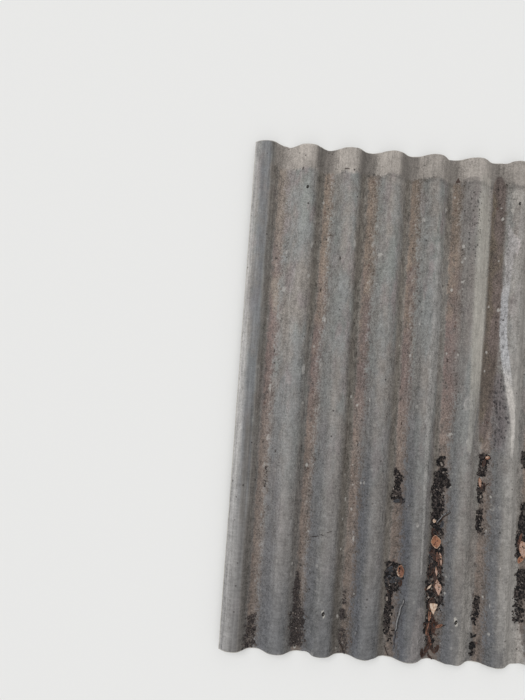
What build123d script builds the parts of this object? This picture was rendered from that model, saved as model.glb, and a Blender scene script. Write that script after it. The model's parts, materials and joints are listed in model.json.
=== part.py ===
from build123d import *
from math import atan2, cos, degrees, sin, tan
import os

# Corrugated fiber cement sheet with eight waves, lying flat on the undersides of its valleys.
# X runs across the waves, Y along them towards the head edge, and Z up.
# The origin is on the floor, below the middle of the sheet.

# Driving dimensions, in millimetres
sheet_length = 1750
wave_count = 8
wave_pitch = 150
wave_height = 40  # from a valley up to a crest, measured on the same face of the sheet
covered_wave_height = 32  # the last crest is lower, because the next sheet lies over it
thickness = 5.8
flank_straight_length = 21.5  # of the straight between a flank's crest arc and its valley arc
covering_edge = 43  # from the axis of the first crest out to the sheet's edge
covered_edge = 37  # from the axis of the last crest out to the sheet's other edge

# Nail holes: two near the head edge and two near the foot edge, each through a crest
nail_hole_diameter = 6
head_hole_setback = 155  # from the head edge
foot_hole_setback = 145  # from the foot edge
head_hole_crest_index = 1  # counted from the first and from the last crest, which are 0
foot_hole_crest_index = 2

# Places worked out from the driving dimensions
half_pitch = wave_pitch / 2
crest_span = (wave_count - 1) * wave_pitch
sheet_width = covering_edge + crest_span + covered_edge
first_crest_x = covering_edge - sheet_width / 2
last_crest_x = first_crest_x + crest_span
valley_z = thickness / 2  # height of the mid line at a valley
crest_z = valley_z + wave_height
covered_crest_z = valley_z + covered_wave_height


def flank_form(height):
    """Radius of the two equal arcs of half a wave, and the slope of the straight flank between them."""
    radius = (half_pitch**2 + height**2 - flank_straight_length**2) / (4 * height)
    slope = atan2(2 * radius, flank_straight_length) - atan2(2 * radius - height, half_pitch)
    return radius, slope


def half_wave(start, height, turn):
    """Mid line of half a wave towards +X, rising where turn is 1 and falling where it is -1."""
    radius, slope = flank_form(height)
    bend = turn * degrees(slope)
    first_arc = JernArc(start=start, tangent=(1, 0), radius=radius, arc_size=bend)
    flank = PolarLine(start=first_arc @ 1, length=flank_straight_length, direction=first_arc % 1)
    last_arc = JernArc(start=flank @ 1, tangent=flank % 1, radius=radius, arc_size=-bend)
    return last_arc @ 1


def square_cut(crest_x, top_z, height, width, side):
    """Plane square to the falling flank beside a crest, with the sheet's outer corner at the width."""
    radius, slope = flank_form(height)
    reach = width - thickness / 2 * sin(slope)
    drop = radius * (1 - cos(slope)) + (reach - radius * sin(slope)) * tan(slope)
    return Plane(
        origin=(crest_x + side * reach, 0, top_z - drop),
        z_dir=(-side * cos(slope), 0, sin(slope)),
    )


with BuildPart() as corrugated_sheet:
    with BuildSketch(Plane.XZ):
        with BuildLine():
            # The line starts in the valley outside the first crest, and ends in the one past the last
            end = half_wave((first_crest_x - half_pitch, valley_z), wave_height, 1)
            for wave in range(wave_count - 2):
                end = half_wave(end, wave_height, -1)
                end = half_wave(end, wave_height, 1)
            end = half_wave(end, wave_height, -1)
            end = half_wave(end, covered_wave_height, 1)
            half_wave(end, covered_wave_height, -1)
            offset(amount=thickness / 2, side=Side.BOTH)
        make_face()
    extrude(amount=sheet_length / 2, both=True)

    # Side edges, each square to its flank
    for cut in (
        square_cut(first_crest_x, crest_z, wave_height, covering_edge, -1),
        square_cut(last_crest_x, covered_crest_z, covered_wave_height, covered_edge, 1),
    ):
        split(bisect_by=cut, keep=Keep.TOP)

    # Nail holes, straight down through the crests
    for setback, crest_index, edge in (
        (head_hole_setback, head_hole_crest_index, 1),
        (foot_hole_setback, foot_hole_crest_index, -1),
    ):
        hole_y = edge * (sheet_length / 2 - setback)
        with Locations(
            (first_crest_x + crest_index * wave_pitch, hole_y, crest_z + thickness),
            (last_crest_x - crest_index * wave_pitch, hole_y, crest_z + thickness),
        ):
            Hole(radius=nail_hole_diameter / 2, depth=2 * thickness)

corrugated_sheet.part.label = "corrugated_sheet"

os.makedirs("parts", exist_ok=True)
export_step(corrugated_sheet.part, "parts/corrugated_sheet.step")
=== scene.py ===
"""Corrugated fiber cement sheet, lying flat: weathered face, cut edges, nail holes and valley dirt.

Lengths are in metres, in the frame's axes: X across the waves, Y along them to the head edge, Z up.
"""
import json
from types import SimpleNamespace

import bpy
import numpy as np
from mathutils import Matrix, Vector


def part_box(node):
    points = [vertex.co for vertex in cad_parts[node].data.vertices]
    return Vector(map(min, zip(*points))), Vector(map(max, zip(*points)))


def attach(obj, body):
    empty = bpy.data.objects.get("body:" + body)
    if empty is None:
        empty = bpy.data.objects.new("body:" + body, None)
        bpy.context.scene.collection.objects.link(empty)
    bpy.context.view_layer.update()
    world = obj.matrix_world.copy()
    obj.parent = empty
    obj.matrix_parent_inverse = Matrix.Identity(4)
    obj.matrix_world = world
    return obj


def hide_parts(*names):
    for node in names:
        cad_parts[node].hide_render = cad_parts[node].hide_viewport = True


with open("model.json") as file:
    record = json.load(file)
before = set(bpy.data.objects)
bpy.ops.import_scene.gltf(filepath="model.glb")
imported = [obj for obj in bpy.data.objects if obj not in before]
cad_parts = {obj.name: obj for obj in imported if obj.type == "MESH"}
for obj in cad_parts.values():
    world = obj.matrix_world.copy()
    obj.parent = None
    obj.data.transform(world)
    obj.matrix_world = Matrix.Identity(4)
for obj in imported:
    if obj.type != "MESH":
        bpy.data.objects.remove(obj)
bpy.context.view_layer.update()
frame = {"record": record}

MM = 0.001
NODE = "corrugated_sheet"
LOW, HIGH = (np.array(corner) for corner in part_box(NODE))

# The section, as the solid has it
THICKNESS = 5.8 * MM
PITCH = 150 * MM
WAVES = 8
STRAIGHT = 21.5 * MM
COVERED_WAVE = 32 * MM
COVERING_EDGE = 43 * MM
WAVE = HIGH[2] - LOW[2] - THICKNESS
HALF_PITCH = PITCH / 2
FIRST_CREST = LOW[0] + COVERING_EDGE
HEAD, FOOT = HIGH[1], LOW[1]

# The mesh: steps across the developed sheet, steps along it, and closer rows near both ends
STEPS_ACROSS = 224
STEPS_ALONG = 168
END_ROWS = np.array([0, 1.6, 3.6, 6.2, 9.6, 14]) * MM


LATTICES = {}  # the random heights of each seed, drawn once
LATTICE_SIZE = 1024
LATTICE_ORIGIN = 300  # where on a lattice the frame's origin falls


def noise(a, b, size, seed):
    """Smooth value noise from -1 to 1: random heights on a lattice of the given cell, eased between."""
    if seed not in LATTICES:
        LATTICES[seed] = np.random.default_rng(seed).uniform(-1, 1, (LATTICE_SIZE, LATTICE_SIZE))
    lattice = LATTICES[seed]
    a, b = a / size + LATTICE_ORIGIN, b / size + LATTICE_ORIGIN
    i, j = np.floor(a).astype(int), np.floor(b).astype(int)
    u, v = a - i, b - j
    u, v = u * u * (3 - 2 * u), v * v * (3 - 2 * v)
    near = lattice[i, j] * (1 - u) + lattice[i + 1, j] * u
    far = lattice[i, j + 1] * (1 - u) + lattice[i + 1, j + 1] * u
    return near * (1 - v) + far * v


def ease(value, start, end):
    """0 at start, 1 at end, eased between them; start may be the larger one."""
    t = np.clip((value - start) / (end - start), 0, 1)
    return t * t * (3 - 2 * t)


def bell(value, centre, half_width):
    """A bell: 1 at the centre, about a third at the half width."""
    return np.exp(-(((value - centre) / half_width) ** 2))


def flank_form(height):
    """Arc radius and flank slope of half a wave: two equal arcs joined by a straight."""
    radius = (HALF_PITCH**2 + height**2 - STRAIGHT**2) / (4 * height)
    slope = np.arctan2(2 * radius, STRAIGHT) - np.arctan2(2 * radius - height, HALF_PITCH)
    return radius, slope


def mid_line(x):
    """Height and slope of the section's mid line. From a crest outwards the drop follows
    the crest arc, then the straight, then the valley arc, which is the crest arc turned round."""
    crest = np.clip(np.round((x - FIRST_CREST) / PITCH), 0, WAVES - 1)
    away = x - (FIRST_CREST + crest * PITCH)
    height = np.where(crest == WAVES - 1, COVERED_WAVE, WAVE)
    radius, slope = flank_form(height)
    out = np.minimum(np.abs(away), HALF_PITCH)
    back = HALF_PITCH - out
    arc_end = radius * np.sin(slope)
    on_crest = radius - np.sqrt(np.maximum(radius**2 - out**2, 0))
    on_valley = height - radius + np.sqrt(np.maximum(radius**2 - back**2, 0))
    on_flank = radius * (1 - np.cos(slope)) + (out - arc_end) * np.tan(slope)
    drop = np.where(out < arc_end, on_crest, np.where(back < arc_end, on_valley, on_flank))
    reach = np.minimum(np.minimum(out, back), arc_end)
    grade = reach / np.sqrt(radius**2 - reach**2)
    return THICKNESS / 2 + height - drop, -np.sign(away) * grade


# Developed length: s runs over the mid line from one side edge to the other
SECTION_STEPS = 8001
SECTION_X = np.linspace(LOW[0] + THICKNESS / 2 * np.sin(flank_form(WAVE)[1]),
                        HIGH[0] - THICKNESS / 2 * np.sin(flank_form(COVERED_WAVE)[1]), SECTION_STEPS)
SECTION_S = np.append(0, np.cumsum(np.hypot(np.diff(SECTION_X), np.diff(mid_line(SECTION_X)[0]))))
DEVELOPED = SECTION_S[-1]


def x_at(s):
    """Place across the sheet at a developed length."""
    return np.interp(s, SECTION_S, SECTION_X)


def s_at(x):
    """Developed length at a place across the sheet."""
    return np.interp(x, SECTION_X, SECTION_S)


# Mean wear of the ends, fine and broad, and of the sides, and how far in from its edge it is felt
RAG, BROAD_RAG, FRAY = 0.7 * MM, 0.5 * MM, 0.6 * MM
END_REACH, SIDE_REACH = 60 * MM, 40 * MM
SWELL, PITTED, UNDER_SWELL = 0.75, 0.3, 0.35  # greatest wear of the faces, in millimetres
# Broken edges: centre along the edge, half width and depth of each bite
HEAD_BITES = ((-0.44, 0.012, 0.004), (-0.30, 0.02, 0.003), (0.13, 0.016, 0.003), (0.34, 0.010, 0.005))
FOOT_BITES = ((-0.263, 0.012, 0.006), (-0.05, 0.018, 0.003), (0.22, 0.014, 0.004), (0.48, 0.02, 0.005))


def worn(s, t, top):
    """Moves developed points in from the edges: by noise and bell-shaped bites at the ends, and by noise
    at the sides."""
    x = x_at(s)
    rag = RAG * (1 + noise(s, t * 0 + top * 3.0, 11 * MM, seed=5)) * (1.3 if top else 0.7)
    for edge, bites, seed in ((HEAD, HEAD_BITES, 11), (FOOT, FOOT_BITES, 17)):
        near = ease(np.abs(t - edge), END_REACH, 0)
        depth = rag + BROAD_RAG * (1 + noise(s, t * 0, 34 * MM, seed))
        for centre, half_width, bite in bites:
            depth = depth + bite * bell(x, centre, half_width) * (1.0 if top else 0.45)
        t = t - np.sign(edge) * depth * near
    side = np.minimum(s, DEVELOPED - s)
    fray = FRAY * (1 + noise(t, s * 0 + top * 2.0, 16 * MM, seed=23)) * ease(side, SIDE_REACH, 0)
    return np.where(s < DEVELOPED / 2, s + fray, s - fray), t


def surface(s, t, top):
    """Point of the upper or under face: the mid line plus half the thickness along its normal,
    less a little wear, which only takes material away, so the sheet stays inside its box."""
    s, t = worn(s, t, top)
    x = x_at(s)
    z, grade = mid_line(x)
    long_grade = np.sqrt(1 + grade**2)
    swell = 0.5 + 0.5 * (0.6 * noise(s, t, 160 * MM, seed=31) + 0.4 * noise(s, t, 45 * MM, seed=37))
    pits = 0.5 + 0.5 * noise(s, t, 17 * MM, seed=41)
    wear = (SWELL * swell + PITTED * pits) * MM if top else UNDER_SWELL * swell * MM
    out = (THICKNESS / 2 - wear) * (1 if top else -1)
    return np.stack([x - out * grade / long_grade, t, z + out / long_grade], -1)


def on_top(x, y):
    """Point of the upper face over a place on the floor, and the face's normal there."""
    _, grade = mid_line(x)
    s = s_at(x + THICKNESS / 2 * grade / np.sqrt(1 + grade**2))
    _, grade = mid_line(x_at(s))
    normal = np.stack([-grade, grade * 0, grade * 0 + 1], -1) / np.sqrt(1 + grade**2)[..., None]
    return surface(s, y, True), normal


def nail_holes():
    """Centre and radius of each hole, from the record's two-hole patterns."""
    holes = []
    for mount in frame["record"]["mounts"]:
        if mount["kind"] == "bolt_pattern":
            x, y, _ = mount["pos_m"]
            half = mount["dims"]["spacing_x_mm"] * MM / 2
            holes += [(x + side * half, y, mount["dims"]["hole_r_mm"] * MM) for side in (-1, 1)]
    return holes


def make_object(name, points, faces, materials, face_material=None, smooth=True):
    """An object at the origin, its place in its mesh, linked to the scene."""
    mesh = bpy.data.meshes.new(name)
    mesh.from_pydata(points, [], faces)
    for material in materials:
        mesh.materials.append(material)
    if face_material is not None:
        mesh.polygons.foreach_set("material_index", np.asarray(face_material, np.int32))
    if smooth:
        mesh.shade_smooth()
    mesh.update()
    piece = bpy.data.objects.new(name, mesh)
    bpy.context.scene.collection.objects.link(piece)
    return piece


def add_attribute(piece, name, values):
    """Writes one value for each point, for a material to read by its name."""
    layer = piece.data.attributes.new(name, "FLOAT", "POINT")
    layer.data.foreach_set("value", np.asarray(values, np.float32))


def grid_cells(index):
    """Corners of each cell of a grid of point numbers."""
    return np.stack([index[:-1, :-1], index[1:, :-1], index[1:, 1:], index[:-1, 1:]], -1)


def grid_rim(index):
    """Point numbers once round the outside of a grid."""
    return np.concatenate([index[:-1, 0], index[-1, :-1], index[:0:-1, -1], index[0, :0:-1]])


HOLE_STEPS = 2  # half size of the square of mesh cells that a hole's rings replace
# Rings from the square in to the hole: radius as a share of the hole's, on each face
TOP_RINGS = (3.0, 2.3, 1.6, 1.0)
UNDER_RINGS = (3.0, 2.4, 1.8, 1.0)
UPPER, UNDER, CUT = 0, 1, 2  # material numbers of the faces


def hole_rings(x, y, radius, square, turn, first, shift):
    """Rings round a hole, from a square of mesh points in to its rim on both faces, and its wall.

    The new points are numbered from first, and shift is the number of points of one face's grid.
    Returns lists of s, t and side of the new points, of faces and of their material numbers."""
    s, t, side, faces, kinds, rims = [], [], [], [], [], []
    for top, shares in ((1, TOP_RINGS), (0, UNDER_RINGS)):
        before = square if top else square + shift
        for share in shares:
            s.append(s_at(x) + share * radius * np.cos(turn))
            t.append(y + share * radius * np.sin(turn))
            side.append(np.full(len(turn), float(top)))
            ring = first + np.arange(len(turn))
            first += len(turn)
            band = np.stack([before, np.roll(before, -1), np.roll(ring, -1), ring], 1)
            faces.append(band if top else band[:, ::-1])
            kinds.append(np.full(len(turn), UPPER if top else UNDER))
            before = ring
        rims.append(before)
    wall = np.stack([rims[0], np.roll(rims[0], -1), np.roll(rims[1], -1), rims[1]], 1)
    return s, t, side, faces + [wall], kinds + [np.full(len(wall), CUT)]


def sheet_mesh():
    """Developed grids of both faces, with rings round the holes, and strips round the rim.

    Returns points, faces, each face's material number, and each point's s and side of the sheet."""
    s_line = np.linspace(0, DEVELOPED, STEPS_ACROSS + 1)
    inner = np.linspace(FOOT + END_ROWS[-1], HEAD - END_ROWS[-1], STEPS_ALONG + 1)
    t_line = np.concatenate([FOOT + END_ROWS[:-1], inner, HEAD - END_ROWS[-2::-1]])
    grid_s, grid_t = (g.ravel() for g in np.meshgrid(s_line, t_line, indexing="ij"))
    index = np.arange(len(grid_s)).reshape(len(s_line), len(t_line))

    keep = np.ones((len(s_line) - 1, len(t_line) - 1), bool)
    s, t, side = [grid_s, grid_s], [grid_t, grid_t], [np.ones(len(grid_s)), np.zeros(len(grid_s))]
    ring_faces, ring_kinds = [], []
    for x, y, radius in nail_holes():
        i, j, n = int(np.abs(s_line - s_at(x)).argmin()), int(np.abs(t_line - y).argmin()), HOLE_STEPS
        keep[i - n:i + n, j - n:j + n] = False
        square = grid_rim(index[i - n:i + n + 1, j - n:j + n + 1])
        turn = np.arctan2(grid_t[square] - y, grid_s[square] - s_at(x))
        rings = hole_rings(x, y, radius, square, turn, sum(map(len, s)), index.size)
        for whole, part in zip((s, t, side, ring_faces, ring_kinds), rings):
            whole.extend(part)
    s, t, side = (np.concatenate(parts) for parts in (s, t, side))
    points = np.where(side[:, None] > 0.5, surface(s, t, True), surface(s, t, False))

    # The cells that are left, and a strip from each face's rim to the middle of the edge
    cells, loop = grid_cells(index)[keep], grid_rim(index)
    under, under_loop = cells[:, ::-1] + index.size, loop + index.size
    middle = len(points) + np.arange(len(loop))
    after, middle_after, under_after = (np.roll(ring, -1) for ring in (loop, middle, under_loop))
    rim_faces = np.concatenate([np.stack([after, loop, middle, middle_after], 1),
                                np.stack([middle_after, middle, under_loop, under_after], 1)])
    points = np.concatenate([points, (points[loop] + points[under_loop]) / 2])
    s, side = np.concatenate([s, s[loop]]), np.concatenate([side, np.full(len(loop), 0.5)])
    faces = np.concatenate([cells, under] + ring_faces + [rim_faces])
    kinds = np.concatenate([np.full(len(cells), UPPER), np.full(len(under), UNDER)] + ring_kinds
                           + [np.full(len(rim_faces), CUT)])
    return points, faces, kinds, s, side


class Shade:
    """A value in a material's node tree. Arithmetic on it adds Math nodes."""

    def __init__(self, tree, socket=None):
        self.tree, self.socket = tree, socket

    def add(self, kind, settings=None, values=None, output=0):
        """Adds a node: its type, settings, the values or links of its sockets, and the output wanted."""
        node = self.tree.nodes.new("ShaderNode" + kind)
        for name, setting in (settings or {}).items():
            setattr(node, name, setting)
        for key, value in (values or {}).items():
            if isinstance(value, Shade):
                self.tree.links.new(value.socket, node.inputs[key])
            else:
                node.inputs[key].default_value = value
        return Shade(self.tree, node.outputs[output])

    def other(self, output):
        """Another output of the same node."""
        return Shade(self.tree, self.socket.node.outputs[output])

    def math(self, operation, first, second=0.0):
        """One Math node."""
        return self.add("Math", {"operation": operation}, {0: first, 1: second})

    def __add__(self, other):
        return self.math("ADD", self, other)

    __radd__ = __add__

    def __mul__(self, other):
        return self.math("MULTIPLY", self, other)

    __rmul__ = __mul__

    def __sub__(self, other):
        return self.math("SUBTRACT", self, other)

    def __rsub__(self, other):
        return self.math("SUBTRACT", other, self)

    def __mod__(self, other):
        return self.math("FLOORED_MODULO", self, other)

    def __or__(self, other):
        """The larger of two values."""
        return self.math("MAXIMUM", self, other)

    def ramp(self, start, end, low=0.0, high=1.0):
        """Low at start, high at end, eased between them."""
        return self.add("MapRange", {"interpolation_type": "SMOOTHSTEP"},
                        {"Value": self, "From Min": start, "From Max": end, "To Min": low, "To Max": high})

    def between(self, start, full, still_full, end):
        """Rises from 0 at start to 1, and falls to 0 again at end."""
        return self.ramp(start, full) * self.ramp(end, still_full)

    def attribute(self, name):
        """The value that the mesh's points carry under this name."""
        return self.add("Attribute", {"attribute_name": name}, output="Fac")

    def stretched(self, x=1.0, y=1.0, z=1.0):
        """This vector, scaled along each axis; a pattern on it grows longer where the scale is small."""
        return self.add("VectorMath", {"operation": "MULTIPLY"}, {0: self, 1: (x, y, z)})

    def part(self, axis):
        """One component of this vector."""
        return self.add("SeparateXYZ", None, {"Vector": self}, axis)

    def noise(self, scale, detail=2.0, roughness=0.5):
        """Noise on this vector, with so many cells to the metre."""
        return self.add("TexNoise", None, {"Vector": self, "Scale": scale, "Detail": detail,
                                           "Roughness": roughness})

    def spots(self, scale, radius, chosen, edge):
        """Scattered spots: so many places to the metre, a radius in metres, the share of places that have
        a spot, and a value that roughens their edges."""
        near = self.add("TexVoronoi", None, {"Vector": self, "Scale": scale})
        pick = near.other("Color").part("X")
        reach = (pick - (1 - chosen)) * (radius * scale / chosen) + (edge - 0.5) * (radius * scale)
        return (reach - near).ramp(0, 0.12)

    def tint(self, below, above):
        """Colour below where this is 0, and above where it is 1."""
        return self.add("Mix", {"data_type": "RGBA"}, {0: self, 6: below, 7: above}, output=2)

    def lit(self, gain):
        """This colour, brighter or darker by a gain."""
        return self.add("VectorMath", {"operation": "SCALE"}, {0: self, "Scale": gain})

    def of(self, colour):
        """A set colour, brighter or darker by this value."""
        return self.add("VectorMath", {"operation": "SCALE"}, {0: colour[:3], "Scale": self})


def tone(red, green, blue):
    """Linear colour from display values of 0 to 255."""
    c = np.array([red, green, blue]) / 255
    linear = np.where(c <= 0.04045, c / 12.92, ((c + 0.055) / 1.055) ** 2.4)
    return (*(float(v) for v in linear), 1.0)


SPECULAR = 0.25  # matt all over: cement, soil and dead leaves


def new_material(name):
    """A Principled material with nothing linked yet: itself, its shader and its Object coordinates."""
    material = bpy.data.materials.new(name)
    material.use_nodes = True
    tree = material.node_tree
    shader = tree.nodes["Principled BSDF"]
    shader.inputs["Specular IOR Level"].default_value = SPECULAR
    return material, shader, Shade(tree).add("TexCoord", output="Object")


def finish_material(shader, colour, roughness, height, distance):
    """Sets the roughness, and links the colour and a bump of the given height field to the shader."""
    shader.inputs["Roughness"].default_value = roughness
    bump = colour.add("Bump", None, {"Height": height, "Distance": distance})
    colour.tree.links.new(colour.socket, shader.inputs["Base Color"])
    colour.tree.links.new(bump.socket, shader.inputs["Normal"])


# Tones of the weathered face
SKIN_WARM = tone(143, 137, 131)
SKIN_COOL = tone(131, 132, 131)
SKIN_GREEN = tone(131, 133, 129)
SKIN_MAUVE = tone(139, 130, 129)
# Darker to the foot: grime and painted shade together
SKIN_FOOT = tone(115, 113, 112)
SKIN_FOOT_WARM = tone(129, 124, 119)
FOOT_DAMP = tone(90, 93, 97)
# FLANK_SHADE: painted shade, a little green, on the right side of each valley
FLANK_SHADE = tone(111, 111, 108)
BLUE_DAMP = tone(88, 89, 93)
# OLIVE tones: dirt and painted shade on the left side of each valley
OLIVE = tone(112, 106, 98)
OLIVE_FOOT = tone(97, 91, 84)
OLIVE_DARK = tone(90, 83, 76)
DUST_PALE = tone(140, 130, 121)
DUST_TAN = tone(131, 118, 107)
DUST_PINK = tone(122, 108, 104)
DUST_FOOT = tone(110, 100, 93)
LAPPED = tone(167, 160, 153)
LAPPED_SHADE = tone(118, 113, 108)
CREAM = tone(174, 172, 170)
FLAP_BLUE = tone(110, 112, 115)
FLAKE = tone(180, 177, 172)
PIT = tone(50, 46, 43)
DARK_SPECK = tone(66, 57, 53)
RUST_SPECK = tone(84, 61, 54)
SOIL = tone(54, 49, 47)
SOOT = tone(58, 54, 56)
SOOT_HAZE = tone(97, 90, 91)
# pale scuffs, and the painted highlight along the cut edges
SCUFF_AND_EDGE_HIGHLIGHT = tone(184, 180, 172)
# near black: a nail stain and the painted shade of the hole's opening
NAIL_STAIN_AND_HOLE_SHADE = tone(24, 22, 22)

HEAD_BAND = 83 * MM  # the strip that a lap kept clean

# Runs down the face, and strips of painted light, in millimetres: x, y and half width on the way from head
# to foot
RUNS = {
    "brown": ((318, 822, 8), (318, 790, 20), (317, 600, 22), (316, 300, 23), (309, 100, 24),
              (305, -40, 19), (303, -110, 12)),
    "dim": ((208, 800, 25), (206, 400, 23), (200, 150, 21), (200, 60, 14)),
    "pale": ((398, 760, 16), (392, 400, 26), (386, 100, 22), (390, -90, 18), (394, -250, 16),
             (394, -500, 17), (388, -660, 21), (388, -800, 21)),
    # flank: painted light, a pale tone brightened to cancel the lamp's shade on this steep flank
    "flank": ((418, 470, 14), (419, 300, 20), (410, 100, 25), (403, -60, 24), (412, -250, 22),
              (415, -400, 20), (424, -560, 28), (426, -700, 32), (436, -790, 36), (444, -880, 44)),
    "low_left": ((110, -700, 16), (108, -800, 32), (108, -880, 34)),
    "low_right": ((268, -580, 10), (270, -660, 22), (266, -760, 22), (258, -880, 18)),
    "clean": ((264, 812, 26), (262, 560, 31), (263, 400, 30), (262, 100, 27), (257, 0, 20),
              (251, -60, 14), (246, -140, 12)),
    # edge: a pale streak, and painted light brightened to cancel the lamp's shade on this flank
    "edge": ((104, 560, 9), (107, 380, 17), (109, 200, 18), (107, 30, 16), (101, -60, 12), (100, -200, 7),
             (102, -400, 5), (104, -560, 4)),
    "sooty": ((342, 110, 8), (345, 30, 16), (355, -50, 21), (348, -124, 14)),
    "lime": ((346, 640, 3), (357, 606, 9), (364, 590, 16), (365, 573, 18), (359, 550, 15), (355, 527, 13),
             (353, 484, 9), (346, 378, 9), (346, 272, 9), (356, 167, 11), (373, 65, 12), (392, -38, 10),
             (394, -105, 7), (392, -150, 4)),
    "rim": ((362, 608, 4), (378, 595, 5), (385, 573, 6), (376, 552, 4)),
    "chip": ((379, 764, 24), (377, 736, 22), (366, 716, 11), (356, 704, 4)),
}
# How abruptly a run ends sideways: the higher, the sharper, and 2 where none is given
RUN_EDGES = {"brown": 3, "clean": 4, "lime": 4, "rim": 3, "chip": 4, "flank": 3}
# Tone and amount of each run; those of flank and edge are painted light on steep flanks
RUN_TONES = {"brown": (tone(97, 88, 78), 0.93), "dim": (tone(110, 105, 102), 0.6),
             "pale": (tone(150, 147, 143), 0.55), "flank": (tone(156, 152, 147), 0.82),
             "low_left": (tone(136, 131, 129), 0.75), "low_right": (tone(146, 142, 137), 0.8),
             "edge": (tone(153, 151, 148), 0.8),
             "lime": (tone(167, 167, 169), 0.85), "rim": (tone(180, 173, 171), 0.8),
             "chip": (tone(166, 162, 156), 0.52)}
# Darker and paler patches, in millimetres: middle, half width, half length and how much darker or paler
CLOUDS = ((-393, 160, 20, 700, 0.1), (-55, -190, 19, 350, -0.08), (61, 0, 18, 900, -0.08),
          (61, 720, 18, 140, -0.14), (-250, -240, 19, 320, 0.09), (22, -445, 11, 180, -0.12),
          (335, -285, 13, 190, -0.1), (-359, 365, 16, 100, -0.09), (-305, 580, 11, 300, -0.07),
          (-470, 300, 14, 170, 0.12), (-488, -700, 9, 200, -0.16), (360, 720, 16, 130, -0.1),
          (8, -150, 10, 160, -0.1), (-129, -680, 11, 100, -0.1), (-27, -680, 12, 90, 0.2),
          (448, -70, 10, 90, -0.18), (286, -75, 18, 60, 0.1), (-177, 0, 9, 170, 0.09),
          (-325, 70, 11, 80, 0.12), (183, 220, 9, 90, 0.26), (423, -665, 11, 80, 0.09),
          (322, 700, 9, 100, -0.1), (-303, -590, 9, 150, -0.11), (327, -800, 13, 70, -0.09),
          (195, -665, 10, 70, -0.1), (369, -525, 9, 80, -0.09), (190, 830, 26, 48, -0.12),
          (288, 844, 18, 26, 0.12), (335, 820, 18, 42, -0.12), (-385, 806, 36, 15, -0.12),
          (-235, 806, 28, 15, -0.09), (-72, 806, 34, 15, -0.09), (26, 808, 14, 30, -0.12),
          (-160, -790, 36, 62, -0.17), (-351, -790, 8, 62, -0.13), (285, 690, 9, 95, -0.14),
          (285, 370, 9, 80, -0.13), (272, 225, 9, 90, 0.14), (357, -665, 11, 75, 0.13),
          (413, -80, 8, 70, 0.13), (-255, -525, 10, 85, 0.12), (-351, 75, 9, 80, -0.12))
CLEAN_RUN = tone(168, 164, 156)
MAUVE_BROWN = tone(98, 88, 84)
BROWN_LOW = tone(84, 76, 69)
LILAC_LIME = tone(160, 156, 155)
CREAMY_LIME = tone(196, 191, 185)


def face_fields(place):
    """What the layers of the upper face share. v runs across each valley from 0 at its bottom, and
    from_band from the left edge of its dust; open_air is all that was never lapped, flap the first crest
    out to the covering edge, low_second the lower part of the second valley, and broad a stretch of the
    fifth where the dust lies wider. The noises are grain, patches and how the layers' edges wander."""
    face = SimpleNamespace(place=place, x=place.part("X"), y=place.part("Y"))
    x, y = face.x, face.y
    face.v = (x - FIRST_CREST) % PITCH - HALF_PITCH
    face.long = place.stretched(1, 0.45, 1)
    face.grain = place.stretched(1, 0.6, 1).noise(330, 2, 0.75)
    face.grit = place.noise(150, 3, 0.7)
    face.fleck = face.long.noise(75, 3, 0.65)
    face.mottle = face.long.noise(28, 4, 0.65)
    face.patch = face.long.noise(11, 2, 0.6)
    face.streak = place.stretched(1, 0.035, 1).noise(120, 3, 0.6)
    face.ripple = place.stretched(0.25, 1, 0.25).noise(120, 2, 0.5)
    face.wander = (place.noise(5, 2, 0.6) - 0.5) * (30 * MM)
    face.rough = (face.grit - 0.5) * (50 * MM) + (face.fleck - 0.5) * (50 * MM)
    face.to_foot = y.ramp(0.45, -0.875)
    face.flap = x.ramp(-0.484, -0.5)
    face.below_head = y + (face.mottle - 0.5) * (40 * MM) + face.rough * 0.15 - (HEAD - HEAD_BAND)
    face.open_air = 1 - face.below_head.ramp(-12 * MM, 4 * MM)
    face.lapped = (1 - face.open_air) * (1 - face.flap)
    face.low_second = x.between(-0.37, -0.34, -0.28, -0.25) * y.ramp(0.35, 0.15)
    face.broad = x.between(0.1, 0.13, 0.19, 0.21) * y.between(-0.15, 0.1, 0.5, 0.62)
    shift = x.ramp(-0.47, -0.3, -21 * MM, -5 * MM) + x.ramp(-0.3, 0.0, 0, 12 * MM)
    face.from_band = face.v - (shift - face.low_second * (8 * MM))
    return face


def frayed(face, name, grit, fleck=0.0):
    """A placed mark, its edge frayed by so much of the grit and of the flecks."""
    return face.place.attribute(name) + (face.grit - 0.5) * grit + (face.fleck - 0.5) * fleck


def skin_layers(face):
    """Bare skin: warm and cool greys in long clouds, darker to the foot, partly grime and partly painted
    shade.
    """
    x, y, long = face.x, face.y, face.place.stretched(1, 0.4, 1)
    colour = (long.noise(7, 3, 0.6) * 0.6 + face.mottle * 0.4).ramp(0.38, 0.62).tint(SKIN_WARM, SKIN_COOL)
    colour = (long.noise(14, 3, 0.6).ramp(0.5, 0.68) * 0.7).tint(colour, SKIN_GREEN)
    colour = (long.noise(19, 3, 0.6).ramp(0.5, 0.68) * 0.7).tint(colour, SKIN_MAUVE)
    foot = (x.ramp(0.1, 0.26) * y.ramp(0, -0.3)).tint(SKIN_FOOT, SKIN_FOOT_WARM)
    colour = (y.ramp(0.6, -0.875) * 0.92).tint(colour, foot)
    return (y.ramp(-0.5, -0.85) * x.ramp(-0.52, -0.4) * 0.5).tint(colour, FOOT_DAMP)


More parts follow.
